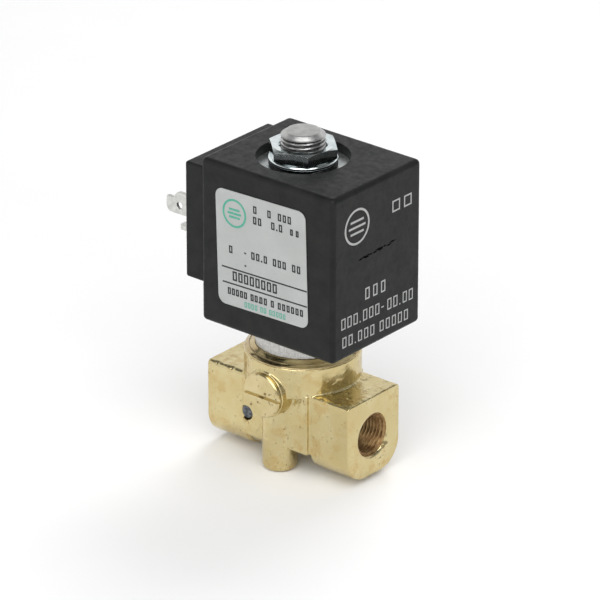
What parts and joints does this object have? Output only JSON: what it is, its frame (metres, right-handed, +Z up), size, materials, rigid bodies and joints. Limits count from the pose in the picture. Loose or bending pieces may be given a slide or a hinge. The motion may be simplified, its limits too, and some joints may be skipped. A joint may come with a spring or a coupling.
{
  "type": "solenoid valve",
  "caption": "Direct-acting solenoid valve: brass body with threaded side ports, steel collar and stem, black box coil with blade contacts, top nut and slotted manual override.",
  "frame": {"origin": "on the stem's axis, in the plane of the two feet's undersides", "axes": "+Z up along the stem; X along the flow, outlet at +X and the coil's blade contacts at -X; -Y is the front, with the label and the override screw"},
  "size_m": [0.054, 0.0302, 0.0779],
  "materials": {
    "forged_brass": "satin forged, small marks",
    "override_brass": "turned, satin",
    "insert_brass": "knurled, bright",
    "plug_steel": "dark, pressed",
    "collar_steel": "turned, mottled",
    "stem_steel": "turned, satin",
    "zinc_plate": "bright zinc plated",
    "spring_steel": "dark, oiled",
    "tinned_contact": "tinned",
    "copper": "enamelled wire",
    "coil_plastic": "black, semi matte, fine grain",
    "bobbin_plastic": "pale, matte",
    "label_film": "light grey film",
    "seal_rubber": "black, matte"
  },
  "bodies": {
    "valve": {"valve_body": "forged_brass", "passage_plug": "plug_steel", "body_o_ring": "seal_rubber", "guide_collar": "collar_steel", "armature_tube": "stem_steel", "fixed_core": "stem_steel", "shading_ring": "copper", "wave_washer": "spring_steel", "flat_washer": "zinc_plate", "coil_nut": "zinc_plate"},
    "plunger_group": {"plunger": "stem_steel", "plunger_seal": "seal_rubber", "plunger_spring": "spring_steel"},
    "coil_assembly": {"coil_housing": "coil_plastic", "coil_bobbin": "bobbin_plastic", "coil_winding": "copper", "yoke_frame": "zinc_plate", "line_terminal_front": "tinned_contact", "line_terminal_rear": "tinned_contact", "ground_terminal": "tinned_contact", "connector_insert": "insert_brass", "coil_label": "label_film"},
    "override_group": {"override_screw": "override_brass", "override_o_ring": "seal_rubber", "override_clip": "spring_steel"}
  },
  "joints": [
    {"name": "plunger_lift", "type": "slide", "parent": "valve", "child": "plunger_group", "axis": [0, 0, 1], "range_m": [0, 0.0015], "stiffness_N_per_m": 300, "springref_m": -0.004, "deforming": ["plunger_spring"]},
    {"name": "coil_swivel", "type": "hinge", "parent": "valve", "child": "coil_assembly", "pos_m": [0, 0, 0.0526], "axis": [0, 0, 1], "continuous": true},
    {"name": "override_turn", "type": "hinge", "parent": "valve", "child": "override_group", "pos_m": [0, -0.012, 0.0195], "axis": [0, 1, 0], "range_deg": [0, 90]}
  ]
}
